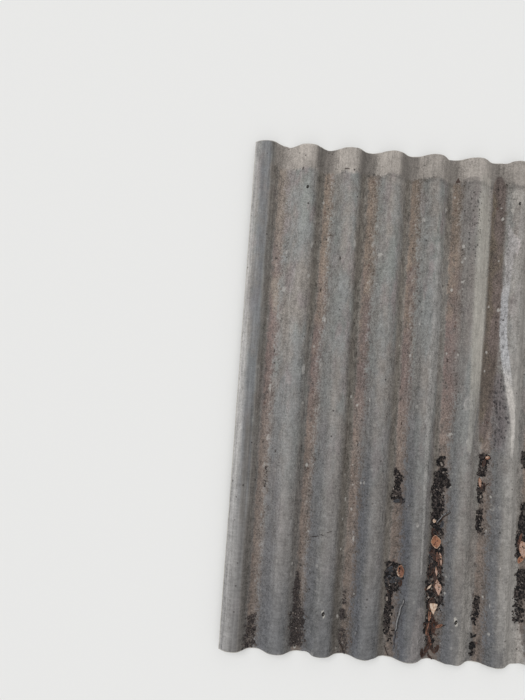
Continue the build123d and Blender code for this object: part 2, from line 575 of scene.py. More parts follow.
def painted_shade_and_damp_layers(face, colour):
    """Painted shade on the right side of each valley, and there a blue-grey damp that grows to the foot.
    """
    x, y, v, wander = face.x, face.y, face.v, face.wander
    flank = v.between(12 * MM, 30 * MM, 48 * MM, 70 * MM) * x.ramp(-0.42, -0.26)
    colour = (flank * 0.42).tint(colour, FLANK_SHADE)
    far_side = x.ramp(-0.2, 0, 0, 14 * MM)
    damp = (v + wander).ramp(3 * MM, 19 * MM) * (v + wander - far_side).ramp(62 * MM, 34 * MM)
    damp = damp * (y + wander * 6).ramp(0.3, -0.55, 0, 0.95) * x.ramp(-0.36, 0.02, 0.6, 1.1)
    damp = damp * x.ramp(0.05, 0.2, 1, 0.72)
    return (damp * face.mottle.ramp(0.3, 0.55, 0.55, 1)).tint(colour, BLUE_DAMP)


def olive_layers(face, colour):
    """Olive dirt and painted shade on each valley's left side, browner to the foot, with darker flecks."""
    x, low_second = face.x, face.low_second
    shade_at = face.v + face.wander * 0.4 - x.ramp(-0.25, 0.1, 0, 20 * MM) + low_second * (3 * MM)
    shade = shade_at.ramp(-56 * MM, -30 * MM) * (face.from_band + face.rough * 0.4).ramp(6 * MM, -16 * MM)
    shade = shade * x.ramp(-0.47, -0.35, 0.4, 0.82) * x.ramp(0.14, 0.24, 1, 0.35)
    shade = shade * (1 - face.broad * 0.4) * (1 - low_second * 0.45)
    darker = face.fleck.ramp(0.55, 0.4) * face.patch.ramp(0.4, 0.55) * 0.8
    return shade.tint(colour, darker.tint(face.to_foot.tint(OLIVE, OLIVE_FOOT), OLIVE_DARK))


def dust_layers(face, colour):
    """Dust in the valleys, tan at the head, then pinker, then browner to the foot. Returns the colour
    and where the dust lies."""
    x, y, from_band, rough, patch = face.x, face.y, face.from_band, face.rough, face.patch
    dust = ((from_band + rough * 0.35).ramp(-13 * MM, -1 * MM)
            * (from_band - face.broad * (13 * MM) + face.wander * 0.5 + rough).ramp(34 * MM, 12 * MM))
    pink = (y + face.wander * 6 + (face.mottle - 0.5) * 0.6 + (patch - 0.5) * 1.4).ramp(0.55, 0.15)
    pink = pink * y.ramp(-0.2, 0.1, 0.4, 1)
    paint = pink.tint(x.ramp(-0.4, -0.34).tint(DUST_PALE, DUST_TAN), DUST_PINK)
    paint = face.to_foot.tint(paint, DUST_FOOT)
    gain = x.ramp(-0.4, -0.44, 1.03, 1.1) - x.ramp(-0.35, -0.15) * y.ramp(-0.2, 0.15, 0.03, 0.12)
    upper_middle = x.between(-0.05, -0.02, 0.03, 0.06) | x.between(0.11, 0.13, 0.19, 0.21)
    gain = gain + face.broad * 0.07 - upper_middle * y.ramp(0.5, 0.65) * 0.15
    first_valley = y.between(0, 0.1, 0.45, 0.6) * 0.08 - y.between(-0.34, -0.28, -0.17, -0.1) * 0.12
    gain = gain + x.ramp(-0.4, -0.44) * first_valley
    gain = gain + y.between(-0.24, -0.14, -0.06, 0.06) * x.ramp(-0.4, -0.36) * 0.09
    thin = face.fleck.ramp(0.25, 0.55, 0.6, 1) * patch.ramp(0.3, 0.45, 0.7, 1)
    return (dust * thin).tint(colour, paint.lit(gain)), dust


def covering_edge_layers(face, colour):
    """Cream rim of the covering edge, its blue-grey damp, and shade beside its crest."""
    x, y, wander = face.x, face.y, face.wander
    cream_at = x - y.ramp(0.4, -0.25, -8 * MM, 12 * MM) + (face.streak - 0.5) * (14 * MM)
    colour = (cream_at.ramp(-0.524, -0.563) * y.ramp(0.1, -0.8, 1, 0.45)).tint(colour, CREAM)
    damp = (x + wander * 0.6).between(-0.55, -0.53, -0.51, -0.498)
    damp = damp * (y + wander * 9).ramp(-0.5, -0.3) * face.mottle.ramp(0.3, 0.6, 0.5, 1)
    colour = (damp * 0.7).tint(colour, FLAP_BLUE)
    shade = (x + wander * 0.2).between(-0.51, -0.498, -0.486, -0.476)
    low_shade = x.between(-0.535, -0.522, -0.512, -0.502) * y.between(-0.5, -0.38, -0.15, 0.0)
    return (shade * 0.45 | low_shade * 0.5).tint(colour, OLIVE_FOOT)


def lapped_layers(face, colour):
    """The lapped band, fresh on its crests and shaded between them, with a dark seam below it."""
    x, v, wander = face.x, face.v, face.wander
    lap_at = v - x.ramp(-0.05, 0.12, 0, 26 * MM) + wander * 0.3
    fresh = (v + wander * 0.3 + x.ramp(-0.36, -0.42, 0, 26 * MM)).ramp(8 * MM, 34 * MM)
    fresh = fresh | lap_at.ramp(-36 * MM, -60 * MM) | x.ramp(-0.4, -0.43) * 0.5
    fresh = fresh * face.streak.ramp(0.25, 0.5, 0.7, 1)
    fresh = fresh * (1 - x.between(-0.03, 0.02, 0.12, 0.17) * 0.3) * x.ramp(0.28, 0.33, 1, 0.65)
    colour = (face.lapped * 0.95).tint(colour, fresh.tint(LAPPED_SHADE, LAPPED))
    seam = face.below_head.between(-20 * MM, -11 * MM, -6 * MM, 2 * MM) * x.ramp(-0.35, 0.1)
    return (seam * face.mottle.ramp(0.35, 0.55) * 0.3).tint(colour, SOIL)


def run_layers(face, colour):
    """Runs down the face, the clean one first, and soot; some runs are painted light on steep flanks.
    Returns the colour and where it is clean.
    """
    place, x, y = face.place, face.x, face.y
    clean = frayed(face, "clean", 0.3, 0.4).ramp(0.12, 0.88)
    clean = clean * y.ramp(-0.02, 0.11, 0.42, 1) * y.ramp(0.77, 0.7, 0.5, 1)
    # Painted light: the clean run is made paler on its steep flank, against the lamp's shade there
    painted_flank_light = face.v.between(-56 * MM, -42 * MM, -24 * MM, -8 * MM)
    colour = (clean * 0.86).tint(colour, (painted_flank_light * 0.25 + 1).of(CLEAN_RUN))
    for name, (paint, amount) in RUN_TONES.items():
        run = frayed(face, name, 0.4, 0.6).ramp(0.2, 0.8) * amount * face.fleck.ramp(0.2, 0.5, 0.75, 1)
        if name == "brown":
            mauve = (face.patch + x.ramp(0.3, 0.335, -0.1, 0.16)).ramp(0.42, 0.58)
            low = y.between(-0.04, 0.03, 0.1, 0.24) * 0.9
            paint = low.tint(mauve.tint(paint, MAUVE_BROWN), BROWN_LOW)
        if name == "lime":
            run = run * y.ramp(0.36, 0.44, 1, 0.8) * y.ramp(-0.19, -0.12)
            paint = y.ramp(0.36, 0.48).tint(y.ramp(0.04, 0.18).tint(CREAMY_LIME, paint), LILAC_LIME)
        colour = run.tint(colour, paint)
    sooty = place.attribute("sooty")
    soot = place.stretched(1, 0.7, 1).spots(120, 6 * MM, 0.8, face.grit) * sooty.ramp(0.15, 0.6)
    return (sooty * 0.75 | soot * 0.85).tint(colour, soot.tint(SOOT_HAZE, SOOT)), clean


def grain_gain(face, dust, clean):
    """Grain, streaks and patches as one gain, quieter where the face is clean or was lapped."""
    to_foot, flap, brown = face.to_foot, face.flap, face.place.attribute("brown")
    off_crest = face.v.between(-68 * MM, -46 * MM, 46 * MM, 68 * MM)
    busy = 1 - to_foot * 0.35 + off_crest * (to_foot * 0.35 + 0.25) + dust * 0.25 + brown * 0.2
    busy = busy * (1 - flap * 0.45) * (1 - clean * 0.45) * (1 - face.lapped * 0.3)
    busy = busy * (1 - face.place.attribute("flank") * 0.4)
    grains = (face.grain - 0.5) * 1.45 + (face.grit - 0.5) * 1.05 + (face.fleck - 0.5) * 0.9
    return (grains * busy + (face.mottle - 0.5) * 0.75
            + (face.streak - 0.5) * (flap * 0.9 + off_crest * 0.25 + brown * 0.4 + 0.3)
            + (face.ripple - 0.5) * (to_foot * 0.4 + 0.2) + 1
            + face.x.ramp(-0.36, -0.38) * (1 - flap) * to_foot.ramp(0.15, 0.5) * 0.11
            + face.place.attribute("cloud"))


# Rings that drops left as they dried, in millimetres: place and radius
RING_MARKS = ((230, 6, 12), (255, 0, 7), (340, -345, 6))
# Pale spots where a crust of lime or lichen sits, in millimetres: place, half width and half length
CRUSTS = ((128, 687, 6, 12), (45, 639, 8, 9), (-102, 502, 9, 12), (198, 511, 6, 8), (196, 430, 6, 9),
          (185, -106, 8, 9), (233, -121, 5, 8), (80, -416, 6, 9), (371, -545, 5, 7), (347, -767, 5, 9),
          (-283, 548, 6, 9), (-193, 536, 7, 17), (-343, 520, 6, 12), (-428, 492, 5, 12),
          (-428, 360, 9, 13), (-347, 410, 6, 10), (-343, 85, 7, 22), (-452, 12, 7, 15),
          (-448, -160, 7, 12), (-165, -352, 6, 9))


def ring_marks(x, y, grit):
    """Faint rings: a band of values where the distance from each mark's centre is near its radius."""
    marks = x * 0
    for centre_x, centre_y, radius in RING_MARKS:
        across, along = x - centre_x * MM, (y - centre_y * MM) * 0.7
        away = x.math("SQRT", across * across + along * along) + (grit - 0.5) * (8 * MM)
        marks = marks | away.between((radius - 4) * MM, radius * MM, radius * MM, (radius + 3) * MM)
    return marks


def flake_layers(face, colour):
    """Pale flakes, rings and crusts. Returns the colour and where the flakes lie."""
    grit, fleck, from_band = face.grit, face.fleck, face.from_band
    crust = from_band.between(8 * MM, 16 * MM, 32 * MM, 46 * MM) * face.mottle.ramp(0.45, 0.58)
    settled = from_band.between(-34 * MM, -20 * MM, 34 * MM, 50 * MM) * 0.7 + 0.3
    flakes = face.place.stretched(1, 0.8, 1).spots(36, 7.5 * MM, 0.5, (grit + fleck) * 0.5) * settled
    flakes = flakes | face.long.spots(40, 7 * MM, 0.75, grit) * crust
    colour = (flakes * face.open_air * 0.7).tint(colour, FLAKE)
    colour = (ring_marks(face.x, face.y, grit) * fleck.ramp(0.35, 0.6, 0.1, 0.4)).tint(colour, FLAKE)
    crusts = frayed(face, "crust", 0.9).ramp(0.4, 0.7)
    return (crusts * 0.6).tint(colour, FLAKE), flakes


def pit_layers(face, colour, dust, clean):
    """Pits, fine dots, dark specks and rust. Returns the colour and where the pits lie."""
    place, x, y, grain = face.place, face.x, face.y, face.grain
    pitted = face.mottle.ramp(0.45, 0.56) | dust * 0.9 | place.attribute("brown") * 0.9
    pits = place.spots(52, 5 * MM, 0.45, grain) * pitted
    colour = (pits * (1 - clean) * 0.8).tint(colour, PIT)
    dotted = x.between(0.2, 0.21, 0.236, 0.252) * y.between(0.32, 0.46, 0.74, 0.775)
    dots = place.spots(135, 4.2 * MM, 0.85, grain) * (dotted + dotted * y.ramp(0.52, 0.6)).ramp(0.2, 1.4)
    colour = (dots * 0.7).tint(colour, PIT)
    left_edge = face.from_band.between(-22 * MM, -14 * MM, -8 * MM, -2 * MM)
    flap_foot = x.ramp(-0.52, -0.54) * y.ramp(-0.55, -0.75)
    specks = face.long.spots(70, 4.4 * MM, 0.5, grain) * (left_edge | flap_foot)
    colour = (specks * face.open_air * 0.7).tint(colour, DARK_SPECK)
    rust = place.spots(60, 6 * MM, 0.5, face.grit) * dust * face.open_air
    return (rust * 0.5).tint(colour, RUST_SPECK), pits


def weathered_face():
    """Upper face: its skin, then one layer over another, then a gain for its grain, and last the flakes,
    pits, placed stains, painted edge highlight and painted hole shade, which the gain leaves alone."""
    material, shader, place = new_material("weathered_face")
    face = face_fields(place)
    colour = olive_layers(face, painted_shade_and_damp_layers(face, skin_layers(face)))
    colour, dust = dust_layers(face, colour)
    colour = lapped_layers(face, covering_edge_layers(face, colour))
    colour, clean = run_layers(face, colour)
    colour = colour.lit(grain_gain(face, dust, clean))
    colour, flakes = flake_layers(face, colour)
    colour, pits = pit_layers(face, colour, dust, clean)
    soil = frayed(face, "soil", 1.0, 0.6).ramp(0.4, 0.65)
    colour = (soil * 0.85).tint(colour, SOIL)
    # Pale scuffs round the holes, and along the ends and sides wear with a painted highlight
    scuff_and_edge_highlight = frayed(face, "scuff_and_edge_highlight", 0.9).ramp(0.4, 0.65)
    colour = (scuff_and_edge_highlight * 0.8).tint(colour, SCUFF_AND_EDGE_HIGHLIGHT)
    # Painted shade: near black round each nail hole, with its stain, so the opening reads dark
    colour = place.attribute("nail_rust_and_hole_shade").ramp(0.3, 0.7).tint(colour, NAIL_STAIN_AND_HOLE_SHADE)
    height = face.grain + face.grit * 0.8 + face.ripple * 0.5 + flakes * 0.6 - pits * 1.2 + soil * 0.5
    finish_material(shader, colour, 0.9, height, 0.7 * MM)
    return material


def under_face():
    """Under face: smoother and cleaner, with the faint cloth grain of the forming belt."""
    material, shader, place = new_material("under_face")
    colour = place.noise(14, 4, 0.6).ramp(0.4, 0.65).tint(tone(152, 150, 145), tone(132, 130, 126))
    colour = (place.noise(250, 3, 0.7).ramp(0.5, 0.7) * 0.3).tint(colour, tone(112, 109, 104))
    height = place.noise(350, 3, 0.6)
    finish_material(shader, colour, 0.85, height, 0.3 * MM)
    return material


def cut_edge():
    """Sawn edges and hole walls: pale, layered and grainy."""
    material, shader, place = new_material("cut_edge")
    colour = place.noise(220, 4, 0.7).ramp(0.45, 0.65).tint(tone(168, 162, 152), tone(120, 115, 107))
    height = place.noise(500, 4, 0.7)
    finish_material(shader, colour, 0.95, height, 0.6 * MM)
    return material


# Dirt in the valleys, in millimetres: start and end, half width at each, and how closely it is packed
DIRT = (
    (-445, -262, -446, -325, 5, 5, 0.4), (-460, -765, -465, -868, 15, 19, 0.5),
    (-312, -606, -311, -640, 6, 10, 0.5), (-312, -640, -307, -740, 10, 16, 0.55),
    (-304, -735, -300, -850, 25, 24, 0.6),
    (-146, -664, -147, -708, 5, 7, 0.42), (-149, -728, -149, -756, 8, 7, 0.85),
    (-147, -795, -138, -868, 12, 18, 0.43),
    (4, -240, 16, -262, 7, 11, 0.8), (16, -262, 12, -300, 12, 9, 0.9), (12, -300, 16, -345, 10, 20, 0.9),
    (15, -562, 14, -645, 22, 22, 0.9), (10, -645, 8, -668, 9, 8, 0.6), (6, -672, 6, -730, 8, 12, 0.8),
    (8, -730, 6, -790, 11, 8, 0.65), (13, -800, 15, -826, 9, 8, 0.45),
    (161, -186, 158, -214, 9, 12, 0.65), (166, -226, 164, -246, 12, 16, 0.75),
    (159, -246, 157, -330, 20, 18, 1.0), (178, -262, 180, -276, 10, 10, 0.7),
    (158, -330, 159, -380, 17, 16, 1.0), (158, -380, 159, -460, 17, 14, 1.0),
    (160, -480, 161, -560, 16, 18, 1.0), (160, -560, 158, -700, 22, 23, 1.0),
    (154, -700, 150, -760, 13, 14, 0.6), (150, -768, 152, -812, 14, 13, 0.55),
    (160, -815, 165, -835, 12, 12, 0.5),
    (312, -172, 304, -236, 15, 11, 1.0), (306, -268, 306, -330, 11, 9, 0.6),
    (306, -362, 307, -425, 11, 10, 0.65), (312, -425, 314, -440, 10, 8, 0.5),
    (313, -655, 309, -715, 8, 12, 0.52), (307, -715, 304, -748, 12, 9, 0.55),
    (306, -780, 306, -792, 7, 7, 0.45), (306, -812, 302, -850, 9, 8, 0.55),
    (458, -150, 456, -206, 13, 11, 0.5), (467, -330, 464, -425, 15, 16, 1.0),
    (457, -425, 453, -505, 17, 14, 0.9), (464, -560, 462, -636, 16, 15, 1.0),
    (459, -646, 457, -725, 16, 17, 0.5),
)


def along_run(points, x, y, sharpness):
    """How much of a run covers each place: 1 on its line, a half at its half width, and 0 further out."""
    run = np.array(points) * MM
    order = np.argsort(run[:, 1])
    centre = np.interp(y, run[order, 1], run[order, 0])
    half_width = np.interp(y, run[order, 1], run[order, 2])
    foot, head = run[:, 1].min(), run[:, 1].max()
    inside = ease(y, foot - 40 * MM, foot) * ease(y, head + 8 * MM, head)
    return 0.5 ** ((np.abs(x - centre) / half_width) ** sharpness) * inside


def dirt_cover(x, y):
    """How thick the valley dirt lies: the nearest stretch's closeness, falling off over its half width,
    with an uneven outline."""
    uneven = 0.34 * noise(x, y, 11 * MM, seed=71) + 0.2 * noise(x, y, 5 * MM, seed=73)
    cover = np.zeros_like(x)
    for x0, y0, x1, y1, w0, w1, packed in DIRT:
        t = np.clip((y - y0 * MM) / ((y1 - y0) * MM), 0, 1)
        centre = (x0 + (x1 - x0) * t) * MM + 3 * MM * noise(y, y * 0, 26 * MM, seed=79)
        half_width = (w0 + (w1 - w0) * t) * MM
        over = np.maximum(y - y0 * MM, 0) + np.maximum(y1 * MM - y, 0)
        away = np.hypot((x - centre) / half_width, over / (8 * MM)) + uneven
        cover = np.maximum(cover, packed * ease(away, 1.25, 0.7))
    return cover


def stains(piece, points, s, side):
    """Writes the placed stains, painted light and painted shade of the upper face as attributes."""
    x, y = points[:, 0], points[:, 1]
    top = side > 0.4
    add_attribute(piece, "soil", dirt_cover(x, y) * top)
    for name, run in RUNS.items():
        add_attribute(piece, name, along_run(run, x, y, RUN_EDGES.get(name, 2)) * top)
    ends = np.minimum(HEAD - y, y - FOOT)
    sides = np.minimum(s, DEVELOPED - s)
    # Along the ends and sides: worn edge and a painted highlight where the cut edge catches the light
    scuff_and_edge_highlight, nail_rust_and_hole_shade = ease(np.minimum(ends, sides), 5 * MM, 1 * MM), x * 0
    for hole_x, hole_y, radius in nail_holes():
        across, along = x - hole_x - (y - hole_y) * 0.3, y - hole_y + (x - hole_x) * 0.3
        away = np.hypot(across, along * (0.62 if hole_y < 0 else 0.8)) / radius
        torn = 0.2 if hole_y > 0 else 1.0 if hole_x > 0 else 0.8
        chipped = torn * (0.62 - 0.38 * np.sin(2 * np.arctan2(along, across)))
        scuff_and_edge_highlight = np.maximum(scuff_and_edge_highlight, bell(away, 2.3, 0.8) * chipped)
        # A nail stain and painted shade, near black, round the hole
        nail_rust_and_hole_shade = np.maximum(nail_rust_and_hole_shade, ease(away, 1.9, 1.3))
    cloud, crust = x * 0, x * 0
    for middle_x, middle_y, half_width, half_length, amount in CLOUDS:
        across = np.abs(x - middle_x * MM) / (half_width * MM)
        along = np.abs(y - middle_y * MM) / (half_length * MM)
        cloud = cloud + amount * 0.5 ** (across**4 + along**4)
    add_attribute(piece, "cloud", cloud * top)
    for crust_x, crust_y, half_width, half_length in CRUSTS:
        spot = bell(x, crust_x * MM, half_width * MM) * bell(y, crust_y * MM, half_length * MM)
        crust = np.maximum(crust, spot)
    add_attribute(piece, "crust", crust * top)
    add_attribute(piece, "scuff_and_edge_highlight", scuff_and_edge_highlight * top)
    add_attribute(piece, "nail_rust_and_hole_shade", nail_rust_and_hole_shade * top)


SHARP_ANGLE = 0.7  # in radians: an edge that turns more stays sharp


def build_sheet():
    """The sheet, which stands for the plain solid."""
    points, faces, kinds, s, side = sheet_mesh()
    piece = make_object("weathered_sheet", points, faces.tolist(),
                        [weathered_face(), under_face(), cut_edge()], kinds)
    piece.data.set_sharp_from_angle(angle=SHARP_ANGLE)
    stains(piece, points, s, side)
    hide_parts(NODE)
    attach(piece, "root")


def crumb_form():
    """An icosahedron: the corners of three golden rectangles, one square to each axis."""
    gold = (1 + 5**0.5) / 2
    corners = np.array([(-1, gold, 0), (1, gold, 0), (-1, -gold, 0), (1, -gold, 0),
                        (0, -1, gold), (0, 1, gold), (0, -1, -gold), (0, 1, -gold),
                        (gold, 0, -1), (gold, 0, 1), (-gold, 0, -1), (-gold, 0, 1)])
    faces = np.array([(0, 11, 5), (0, 5, 1), (0, 1, 7), (0, 7, 10), (0, 10, 11), (1, 5, 9), (5, 11, 4),
                      (11, 10, 2), (10, 7, 6), (7, 1, 8), (3, 9, 4), (3, 4, 2), (3, 2, 6), (3, 6, 8),
                      (3, 8, 9), (4, 9, 5), (2, 4, 11), (6, 2, 10), (8, 6, 7), (9, 8, 1)])
    return corners / np.linalg.norm(corners[0]), faces


def grid_shell(rows, columns):
    """Faces of a thin closed sheet: a grid, its underside with points in the same order, and the rim."""
    index = np.arange(rows * columns).reshape(rows, columns)
    cells, loop = grid_cells(index).reshape(-1, 4), grid_rim(index)
    following = np.roll(loop, -1)
    rim = np.stack([following, loop, loop + index.size, following + index.size], 1)
    return np.concatenate([cells, cells[:, ::-1] + index.size, rim])


def flake_form():
    """A scrap of leaf, one unit long: a small shell rolled up at its sides and pinched at its ends."""
    u, w = np.meshgrid(np.linspace(-0.5, 0.5, 4), np.linspace(-1, 1, 3), indexing="ij")
    across = 0.28 * w * (1 - 1.6 * u**2)
    top = np.stack([u, across, 0.16 * np.abs(w) + 0.5 * u**2], -1).reshape(-1, 3)
    return np.concatenate([top, top - [0, 0, 0.05]]), grid_shell(4, 3)


def turned(angles):
    """Rotation matrices from three angles each: about Z, then X, then Z again."""
    c, s = np.cos(angles), np.sin(angles)
    zero, one = np.zeros(len(angles)), np.ones(len(angles))

    def matrices(*cells):
        """Three by three matrices from their cells, row by row."""
        return np.stack(cells, 1).reshape(-1, 3, 3)

    def about_z(k):
        """A turn about Z by the angle of this number."""
        return matrices(c[:, k], -s[:, k], zero, s[:, k], c[:, k], zero, zero, zero, one)

    about_x = matrices(one, zero, zero, zero, c[:, 1], -s[:, 1], zero, s[:, 1], c[:, 1])
    return about_z(2) @ about_x @ about_z(0)


CRUMB = 2.6 * MM  # mean radius of a crumb of dirt
SCRAP = 7.5 * MM  # mean length of a scrap of leaf
HEAP = 5 * MM  # how high the thickest dirt is heaped
CRUMB_PLACES, SCRAP_PLACES = 18000, 1500  # tried, of which those in the dirt are kept
DIRT_SEED = 907
END_ROOM = 1.5 * MM  # how far in from both ends all dirt, leaves and twigs stay


def within_ends(y, room=END_ROOM):
    """y, held back from both ends of the sheet by the room."""
    return y.clip(FOOT + room, HEAD - room)


def lay_piece(name, points, faces, material, values, smooth=True):
    """A piece that lies on the sheet, with the values that its material reads."""
    piece = make_object(name, points, faces, [material], smooth=smooth)
    for key, value in values.items():
        add_attribute(piece, key, value)
    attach(piece, "root")


def valley_of(x):
    """Number of the valley that a place lies in, counted from 1 at the covering edge."""
    return np.round((x - FIRST_CREST - HALF_PITCH) / PITCH).astype(int) + 1


def in_dirt(draw, count):
    """Random places where dirt lies, more of them where it is thick, with its thickness there."""
    area = np.array([abs(y1 - y0) * (w0 + w1) * packed for _, y0, _, y1, w0, w1, packed in DIRT])
    pick = draw.choice(len(DIRT), count, p=area / area.sum())
    x0, y0, x1, y1, w0, w1, _ = np.array(DIRT).T[:, pick] * MM
    t = draw.uniform(-0.08, 1.08, count)
    x = x0 + (x1 - x0) * t + draw.uniform(-1.5, 1.5, count) * (w0 + (w1 - w0) * np.clip(t, 0, 1))
    y = within_ends(y0 + (y1 - y0) * t, 5 * MM)
    cover = dirt_cover(x, y)
    keep = draw.uniform(size=count) < 0.015 + cover
    return x[keep], y[keep], cover[keep]


def scattered(draw, form, faces, size, jitter, tilt, x, y, cover):
    """Copies of a small form on the dirt: jittered, scaled, turned, and lifted where the dirt is thick.
    They are finer in the valleys on the left."""
    count = len(x)
    size = size * draw.lognormal(0, 0.38, count).clip(0.4, 2.0) * np.where(x < -50 * MM, 0.8, 1)
    forms = form * (1 + draw.uniform(-jitter, jitter, (count, len(form), 1)))
    forms = forms * draw.uniform(0.6, 1.25, (count, 1, 3))
    angles = draw.uniform(0, 2 * np.pi, (count, 3))
    angles[:, 1] = draw.normal(0, tilt, count)
    forms = np.einsum("nij,nkj->nki", turned(angles), forms * size[:, None, None])
    base, normal = on_top(x, y)
    centre = base + normal * (0.3 * size)[:, None]
    centre[:, 2] += HEAP * cover * draw.uniform(0, 1, count)
    points = forms + centre[:, None, :]
    points[..., 2] = np.maximum(points[..., 2], (base[:, 2] - 1.2 * MM)[:, None])
    points[..., 1] = within_ends(points[..., 1])
    faces = faces + len(form) * np.arange(count)[:, None, None]
    return points.reshape(-1, 3), faces.reshape(-1, faces.shape[-1])


def dirt_pieces(material):
    """Soil crumbs and scraps of leaf in each valley: jittered icosahedra and small rolled shells."""
    draw = np.random.default_rng(DIRT_SEED)
    crumbs, scraps = in_dirt(draw, CRUMB_PLACES), in_dirt(draw, SCRAP_PLACES)
    for number in range(1, WAVES):
        points, faces, shades, first = [], [], [], 0
        for places, (form, form_faces), size, jitter, tilt in (
                (crumbs, crumb_form(), CRUMB, 0.22, 3.0), (scraps, flake_form(), SCRAP, 0.15, 0.45)):
            chosen = valley_of(places[0]) == number
            if not chosen.any():
                continue
            part, part_faces = scattered(draw, form, form_faces, size, jitter, tilt,
                                         *(values[chosen] for values in places))
            points.append(part)
            faces += (part_faces + first).tolist()
            first += len(part)
            shades.append(np.repeat(draw.uniform(0, 1, chosen.sum()), len(form)))
        if points:
            lay_piece(f"valley_dirt_{number}", np.concatenate(points), faces, material,
                      {"shade": np.concatenate(shades)}, smooth=False)


def dirt_material():
    """Leaf mould: each crumb and scrap has its own tone, from near black to brown and grey, a few of
    them pale; greyer in the valleys on the left."""
    material, shader, place = new_material("leaf_mould")
    shade = place.attribute("shade")
    colour = shade.ramp(0.35, 0.75).tint(tone(16, 14, 16), tone(64, 57, 55))
    colour = shade.ramp(0.8, 0.94).tint(colour, tone(100, 92, 87))
    colour = shade.ramp(0.965, 0.995).tint(colour, tone(148, 139, 131))
    colour = (place.noise(420, 2, 0.7).ramp(0.52, 0.7) * 0.25).tint(colour, tone(92, 88, 86))
    colour = (place.part("X").ramp(-0.03, -0.07) * 0.33).tint(colour, tone(98, 90, 88))
    finish_material(shader, colour, 0.8, place.noise(700, 3, 0.7), 0.5 * MM)
    return material


# Dead leaves, in millimetres: place, length, width, turn in degrees, corners of the outline (0 is round),
# how far the blade rolls up from its midrib (down where negative), how far it bends along its length,
# how high it lies, and its tone
LEAVES = (
    (147, -405, 15, 14, 80, 0, 0.5, 0.0, 7, "cream"), (155, -474, 46, 36, 100, 0, 0.7, 0.3, 9, "orange"),
    (144, -528, 86, 22, 92, 0, 0.9, 0.1, 2, "slate"), (174, -530, 44, 11, 99, 0, -1.3, 0.2, 8, "tan"),
    (166, -532, 46, 13, 97, 0, 1.0, 0.2, 6, "chestnut"), (168, 797, 22, 18, 90, 3, 0.2, 0.1, 1, "umber"),
    (172, -566, 34, 13, 104, 4, 1.0, 0.2, 7, "umber"), (163, -575, 36, 9, 97, 4, 0.7, 0.1, 8, "tan"),
    (146, -578, 62, 30, 84, 0, 0.7, 0.2, 1, "umber"), (154, -640, 74, 56, 84, 4, 0.5, 0.2, 1, "umber"),
    (171, -626, 56, 27, 100, 4, 0.35, 0.2, 9, "tan"), (141, -629, 28, 9, 40, 4, 0.2, 0.1, 10, "cream"),
    (159, -696, 52, 34, -90, 3, 0.2, 0.1, 12, "cream"), (150, -712, 62, 13, 80, 0, 1.3, 0.3, 5, "rust"),
    (145, -760, 66, 11, 77, 0, -1.2, 0.2, 5, "rust"), (150, -800, 52, 12, 112, 0, 1.4, 0.3, 4, "chestnut"),
    (160, -833, 44, 12, 122, 0, 1.4, 0.2, 4, "umber"), (181, -756, 36, 10, 38, 0, 0.9, 0.3, 3, "rust"),
    (174, -752, 20, 8, 75, 0, 0.9, 0.3, 3, "umber"), (158, -868, 22, 8, 140, 0, 1.0, 0.2, 2, "umber"),
    (38, -576, 42, 27, 92, 0, 0.8, 0.3, 6, "rust"), (30, -589, 22, 9, 120, 0, 1.3, 0.1, 8, "cream"),
    (2, -588, 44, 24, 70, 0, 0.8, 0.3, 3, "slate"), (22, -612, 46, 22, 25, 0, 0.9, 0.2, 3, "slate"),
    (38, -618, 26, 13, 80, 0, 0.8, 0.2, 3, "umber"), (-6, -624, 30, 12, 100, 0, 1.0, 0.3, 3, "slate"),
    (6, -655, 34, 12, 120, 0, 1.1, 0.3, 2, "umber"), (14, -346, 26, 14, 20, 0, 0.8, 0.2, 3, "slate"),
    (34, -342, 20, 9, 70, 0, 0.8, 0.2, 3, "slate"), (300, -263, 36, 15, 97, 0, 1.2, 0.2, 4, "tan"),
    (312, -276, 30, 9, 60, 0, 1.2, 0.3, 3, "umber"), (320, -176, 17, 13, 20, 0, 0.9, 0.1, 7, "rust"),
    (319, -174, 10, 8, 20, 0, -0.5, 0.1, 10, "cream"), (310, -196, 28, 12, 75, 0, 1.0, 0.3, 4, "umber"),
    (450, -447, 40, 12, 75, 0, 1.5, 0.3, 4, "chestnut"), (463, -482, 62, 34, 100, 0, 0.9, 0.3, 5, "tan"),
    (456, -516, 34, 20, 60, 0, 0.9, 0.3, 4, "orange"), (446, -466, 40, 12, 95, 0, 1.2, 0.2, 4, "umber"),
    (174, -415, 28, 14, 75, 0, 0.8, 0.2, 3, "slate"),
)
# Blade, vein and rim of each tone; a pale rim is a painted highlight on the curled edge, a dark one the
# leaf's outline
LEAF_TONES = {"tan": ((176, 148, 134), (138, 100, 74), (58, 38, 28)),
              "orange": ((152, 106, 80), (94, 56, 44), (196, 172, 150)),
              "cream": ((206, 186, 168), (176, 146, 122), (110, 76, 54)),
              "rust": ((138, 98, 80), (94, 62, 50), (172, 136, 110)),
              "chestnut": ((98, 66, 54), (54, 38, 32), (134, 102, 84)),
              "umber": ((62, 46, 40), (36, 28, 26), (98, 64, 48)),
              # slate: dark leaves whose blue tint is partly a painted reflection, their pale rim a painted
              # highlight
              "slate": ((56, 58, 62), (34, 34, 37), (88, 90, 96))}
LEAF_RINGS = 8
LEAF_SECTORS = 32
LEAF_THICKNESS = 0.5 * MM
LITTER = 34  # small dark leaves strewn in the fullest valley
LITTER_SEED = 431


def leaf_outline(turn, corners):
    """Radius of a leaf's outline at each turn: a rounded blade, or a polygon with blunt corners."""
    if corners == 0:
        return 1 - 0.14 * np.abs(np.sin(2 * turn)) ** 1.5
    step = 2 * np.pi / corners
    polygon = np.cos(step / 2) / np.cos(turn % step - step / 2)
    return 0.12 + 0.88 * polygon


